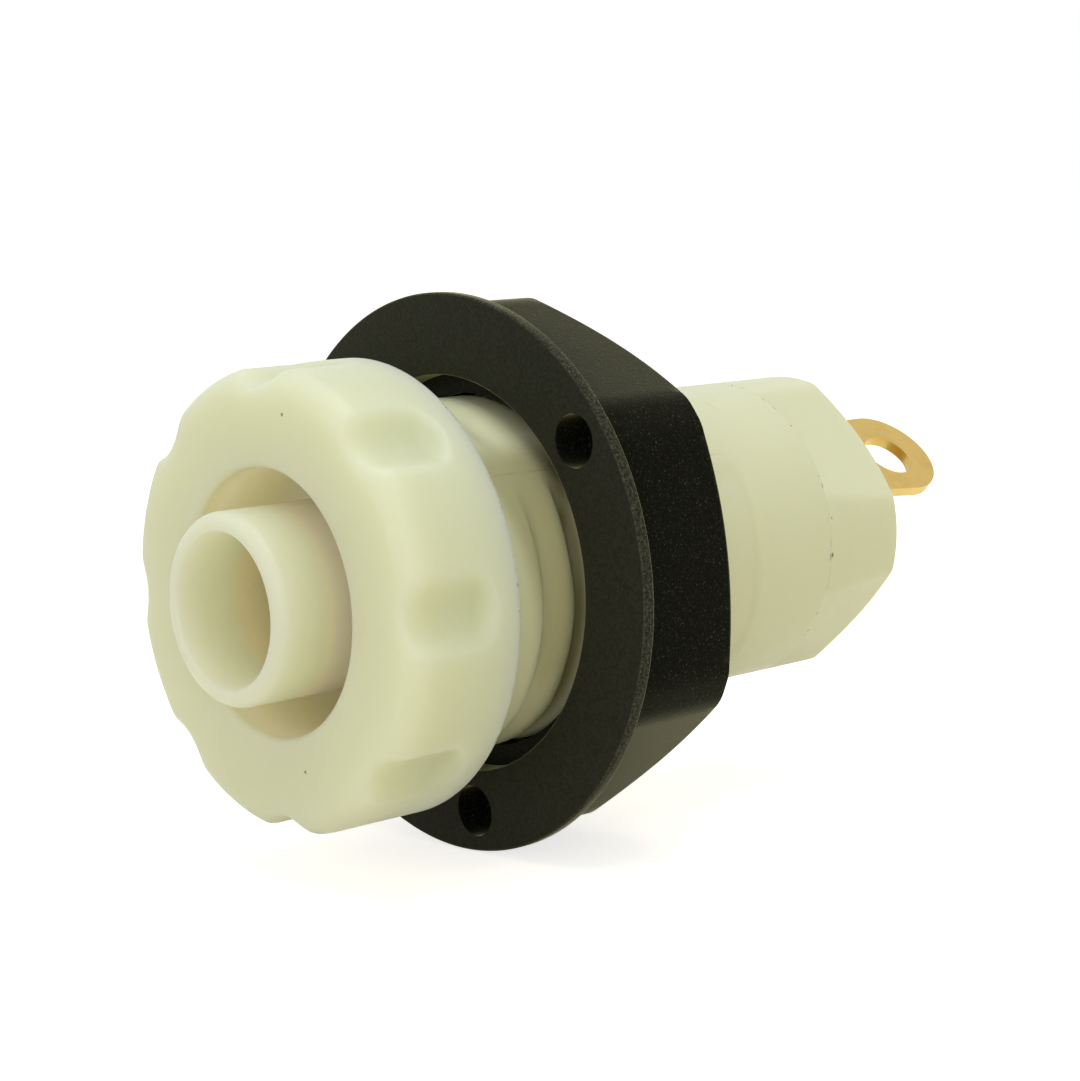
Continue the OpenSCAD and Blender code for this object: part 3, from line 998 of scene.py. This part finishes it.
@dataclass
class SolderLug:
    """Bent solder lug of sheet metal, with a rivet hole and a wire eye."""

    finish: Material
    thickness: float = 0.4
    width: float = 3.95
    waist: float = 0.12
    seat: float = 20.9
    bend_start: float = 2.15
    bend_radius: float = 0.4
    bend_steps: int = 10
    tail: float = 2.55
    end_segments: int = 96
    eye_radius: float = 1.0
    eye_shift: Pair = (-0.15, -0.1)
    rivet_radius: float = 1.22
    hole_segments: int = 72
    hole_over: float = 1.0
    turn: float = 49.0
    edge: Fillet = (0.06, 3)
    edge_angle: float = 40.0

    def build(self) -> Object:
        """Cuts the flat blank, rounds its edges and bends it."""
        neutral = self.bend_radius + self.thickness / 2
        arc = neutral * math.pi / 2
        reach = self.bend_start + arc + self.tail
        clear_selection()
        bpy.ops.mesh.primitive_cube_add(
            size=1.0, location=(reach / 2 * MM, self.thickness / 2 * MM, 0.0),
            scale=(reach * MM, self.thickness * MM, self.width * MM))
        piece = settle("solder_lug")
        for name, place in (("lug_root", (0.0, 0.0)), ("lug_tip", (reach, 0.0))):
            combine(piece, peg(name, self.width / 2, (0.0, self.thickness), place,
                               self.end_segments), Cut.UNION)
        through = (-self.hole_over, self.thickness + self.hole_over)
        eye = (reach + self.eye_shift[0], self.eye_shift[1])
        for name, radius, place in (("rivet_hole", self.rivet_radius, (0.0, 0.0)),
                                    ("wire_eye", self.eye_radius, eye)):
            combine(piece, peg(name, radius, through, place, self.hole_segments), Cut.DIFFERENCE)
        soften(piece, self.edge, self.edge_angle)
        activate(piece)
        bpy.ops.object.mode_set(mode="EDIT")
        for step in range(self.bend_steps + 1):
            bpy.ops.mesh.select_all(action="SELECT")
            bpy.ops.mesh.bisect(
                plane_co=((self.bend_start + arc * step / self.bend_steps) * MM, 0.0, 0.0),
                plane_no=(1.0, 0.0, 0.0))
        close_mesh()
        self.bend(piece, neutral, arc)
        return piece

    def bend(self, piece: Object, neutral: float, arc: float) -> None:
        """Bends the flat blank over its edge and turns it to its place round the axis.

        Args:
            piece: Flat blank, with its length along X and its thickness along Y.
            neutral: Radius of the bend in the middle of the sheet.
            arc: Length of the bend in the middle of the sheet.
        """
        points = read_points(piece)
        along, through, across = points[:, 0], points[:, 1], points[:, 2]
        bend_end = self.bend_start + arc
        narrow = plateau(along, (0.0, self.bend_start), (bend_end, bend_end + self.tail))
        across = np.where(across < 0.0, across * (1.0 - self.waist * narrow), across)
        past = np.clip(along - self.bend_start, 0.0, arc)
        angle = past / neutral
        rest = np.maximum(along - self.bend_start - arc, 0.0)
        radius = self.bend_radius + self.thickness - through
        centre = self.seat + self.thickness + self.bend_radius
        bent = along > self.bend_start
        out = np.where(bent, self.bend_start + radius * np.sin(angle), along)
        station = np.where(bent, centre - radius * np.cos(angle) + rest, self.seat + through)
        turn = math.radians(self.turn)
        write_points(piece, np.stack([
            out * math.cos(turn) - across * math.sin(turn), station,
            out * math.sin(turn) + across * math.cos(turn)], axis=1))

    def dress(self) -> Object:
        """Builds the lug and hands it over."""
        return hand_over(self.build(), Body.SOCKET, "solder_tag", self.finish,
                         self.edge_angle)


@dataclass
class FlangedNut:
    """Black hex nut with a thin flange, blind holes in its face and a thread in its bore."""

    finish: Material
    segments: int = 360
    face: float = 3.4
    flange_radius: float = 9.495
    flange_thickness: float = 0.45
    flats: float = 16.4
    flat_count: int = 6
    corner_radius: float = 9.1
    height: float = 5.3
    side_rings: int = 10
    chamfer: Chamfer = Chamfer(0.6, 30.0, 12)
    bore_radius: float = 6.05
    bore_round: Fillet = (0.25, 4)
    bore_rings: int = 60
    mouth_radius: float = 6.75
    mouth_depth: float = 1.2
    hole_count: int = 3
    hole_radius: float = 0.875
    hole_depth: float = 1.1
    hole_over: float = 1.0
    hole_circle: float = 8.1
    turn: float = 35.2
    thread_pitch: float = 1.38
    thread_depth: float = 0.32
    thread_fade: float = 0.5
    edge: Fillet = (0.09, 4)
    corner_blend: float = 0.2
    shade_angle: float = 28.0

    def build(self) -> Object:
        """Turns the nut, presses its hex, cuts its thread and sinks the blind holes."""
        rear = self.face + self.height
        back = self.face + self.flange_thickness
        floor = self.face + self.mouth_depth
        cone = self.chamfer.rings(self.corner_radius, rear)
        piece = revolve("flanged_nut", [
            (self.mouth_radius, floor), (self.mouth_radius, self.face),
            (self.flange_radius, self.face), (self.flange_radius, back),
            (self.corner_radius, back), *cone,
            (self.bore_radius, rear), (self.bore_radius, floor),
        ], self.segments)
        for radius, station, fillet in ((self.mouth_radius, self.face, self.edge),
                                        (self.flange_radius, self.face, self.edge),
                                        (self.flange_radius, back, self.edge),
                                        (self.bore_radius, rear, self.bore_round)):
            round_rim(piece, (radius, station), fillet)
        split_lengthwise(piece, self.corner_radius, (back, cone[0][1]), self.side_rings)
        split_lengthwise(piece, self.bore_radius, (floor, rear), self.bore_rings)
        points = read_points(piece)
        radius = radii(points)
        hexed = (points[:, 1] > back - NEAR) & (radius < self.corner_radius + NEAR)
        hexed &= radius > cone[-1][0] - NEAR
        flats = np.full(len(points), self.flats / 2)
        press_flats(piece, hexed, self.flat_count, self.turn + 180.0 / self.flat_count, flats,
                    self.corner_blend)
        self.cut_thread(piece, floor, rear)
        span = (self.face - self.hole_over, self.face + self.hole_depth)
        for index in range(self.hole_count):
            angle = math.radians(self.turn + index * 360.0 / self.hole_count)
            place = (self.hole_circle * math.cos(angle), self.hole_circle * math.sin(angle))
            combine(piece, peg("blind_hole", self.hole_radius, span, place), Cut.DIFFERENCE)
        return piece

    def cut_thread(self, piece: Object, start: float, end: float) -> None:
        """Cuts the right-hand thread into the wall of the bore, outside the running gap.

        Args:
            piece: Nut with a plain bore.
            start: Station where the bore starts.
            end: Station where it ends.
        """
        points = read_points(piece)
        radius = radii(points)
        station = points[:, 1]
        bore = np.abs(radius - self.bore_radius) < NEAR
        angle = bearings(points) / (2 * math.pi)
        wave = 0.5 - 0.5 * np.cos(2 * math.pi * (station / self.thread_pitch + angle))
        ends = plateau(station, (start, start + self.thread_fade), (end - self.thread_fade, end))
        push(piece, bore, radius + self.thread_depth * wave * ends)

    def dress(self) -> Object:
        """Builds the nut and hands it over."""
        return hand_over(self.build(), Body.NUT, "flange_nut", self.finish,
                         self.shade_angle)


# Studio


@dataclass(frozen=True)
class Lamp:
    """A square soft lamp that faces the object, with its side and its power in watts."""

    name: str
    place: Triple
    size: float
    power: float
    colour: Triple = (1.0, 1.0, 1.0)

    def hang(self) -> None:
        """Hangs the lamp."""
        lamp = bpy.data.lights.new(self.name, "AREA")
        lamp.color = self.colour
        lamp.size = self.size * MM
        lamp.energy = self.power
        side = np.cross((0.0, 1.0, 0.0), self.place)
        stand(self.name, lamp, side, np.cross(self.place, side), self.place)


def stand(name: str, data: ID, right: Array | Triple, up: Array | Triple, place: Triple) -> Object:
    """Stands a camera or a lamp in the scene.

    Args:
        name: Name of the object.
        data: Camera or lamp that it holds.
        right: Its direction to the right.
        up: Its direction upwards, which is made square to the right.
        place: Where it stands.

    Returns:
        The object.
    """
    holder = bpy.data.objects.new(name, data)
    bpy.context.scene.collection.objects.link(holder)
    right = np.array(right) / np.linalg.norm(right)
    up = np.array(up) - right * right.dot(up)
    up /= np.linalg.norm(up)
    matrix = np.eye(4)
    matrix[:3, 0], matrix[:3, 1], matrix[:3, 2] = right, up, np.cross(right, up)
    matrix[:3, 3] = np.array(place) * MM
    holder.matrix_world = Matrix(matrix.tolist())
    return holder


@dataclass
class Studio:
    """Camera at the photograph's angle, pale floor, white surround and soft lamps."""

    camera_place: Triple = (64.6, -50.137, 10.818)
    camera_right: Triple = (0.6705, 0.7401, -0.0517)
    camera_up: Triple = (-0.0520, 0.1164, 0.9918)
    lens: float = 83.333
    sensor: float = 36.0
    clip_start: float = 1.0
    floor_height: float = -9.52
    floor_size: float = 3000.0
    floor_colour: Triple = (0.88, 0.83, 0.7)
    floor_glow: float = 0.72
    surround: float = 0.48
    lamps: tuple[Lamp, ...] = (
        Lamp("top_lamp", (20.0, 0.0, 170.0), 150.0, 0.135, (0.94, 0.98, 1.0)),
        Lamp("camera_lamp", (160.0, -145.0, 40.0), 120.0, 0.088),
        Lamp("front_lamp", (0.0, -190.0, 30.0), 140.0, 0.054),
    )

    def build(self) -> None:
        """Sets up the camera, the floor, the surround and the lamps."""
        self.add_camera()
        self.add_floor()
        self.add_surround()
        for lamp in self.lamps:
            lamp.hang()
        bpy.context.scene.view_settings.view_transform = "Standard"

    def add_camera(self) -> None:
        """Stands the camera where the photograph was taken from."""
        camera = bpy.data.cameras.new("photo_camera")
        camera.sensor_fit = "HORIZONTAL"
        camera.sensor_width = self.sensor
        camera.lens = self.lens
        camera.clip_start = self.clip_start * MM
        bpy.context.scene.camera = stand("photo_camera", camera, self.camera_right,
                                         self.camera_up, self.camera_place)

    def add_floor(self) -> None:
        """Lays a pale floor that keeps the object's shadow."""
        clear_selection()
        bpy.ops.mesh.primitive_plane_add(
            size=self.floor_size * MM, location=(0.0, 0.0, self.floor_height * MM))
        floor = settle("pale_floor")
        material = bpy.data.materials.new("pale_floor")
        material.use_nodes = True
        tree = material.node_tree
        tree.nodes.clear()
        matt = add_node(tree, "ShaderNodeBsdfDiffuse", {"Color": (*self.floor_colour, 1.0)})
        level = add_node(tree, "ShaderNodeMath", {0: self.seen(tree), 1: self.floor_glow},
                         operation="MULTIPLY")
        glow = add_node(tree, "ShaderNodeEmission", {"Strength": level.outputs["Value"]})
        total = add_node(tree, "ShaderNodeAddShader",
                         {0: matt.outputs["BSDF"], 1: glow.outputs["Emission"]})
        add_node(tree, "ShaderNodeOutputMaterial", {"Surface": total.outputs["Shader"]})
        floor.data.materials.append(material)

    def add_surround(self) -> None:
        """Makes the surround white where it is seen, and plain light where it lights."""
        world = bpy.data.worlds.new("white_surround")
        bpy.context.scene.world = world
        world.use_nodes = True
        tree = world.node_tree
        level = add_node(tree, "ShaderNodeMapRange", {
            "Value": self.seen(tree), "To Min": self.surround, "To Max": 1.0})
        feed(tree.nodes["Background"], {"Color": (1.0, 1.0, 1.0, 1.0),
                                        "Strength": level.outputs["Result"]})

    def seen(self, tree: NodeTree) -> Socket:
        """Returns 1 for rays that show a thing to the camera, straight or by a reflection."""
        path = tree.nodes.new("ShaderNodeLightPath")
        value = path.outputs["Is Camera Ray"]
        for name in ("Is Glossy Ray", "Is Transmission Ray"):
            value = add_node(tree, "ShaderNodeMath", {0: value, 1: path.outputs[name]},
                             operation="MAXIMUM").outputs["Value"]
        return value


def main() -> None:
    """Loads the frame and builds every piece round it."""
    logging.basicConfig(level=logging.INFO, format="%(name)s: %(message)s")
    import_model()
    nylon = NylonFinish().build()
    black = BlackFinish().build()
    gold = GoldFinish().build()
    Studio().build()
    for piece in (MouldedBody(nylon), GuideSleeve(nylon), ContactTube(gold), RearCap(nylon),
                  SolderLug(gold), FlangedNut(black)):
        piece.dress()
    clear_selection()


if __name__ == "__main__":
    main()
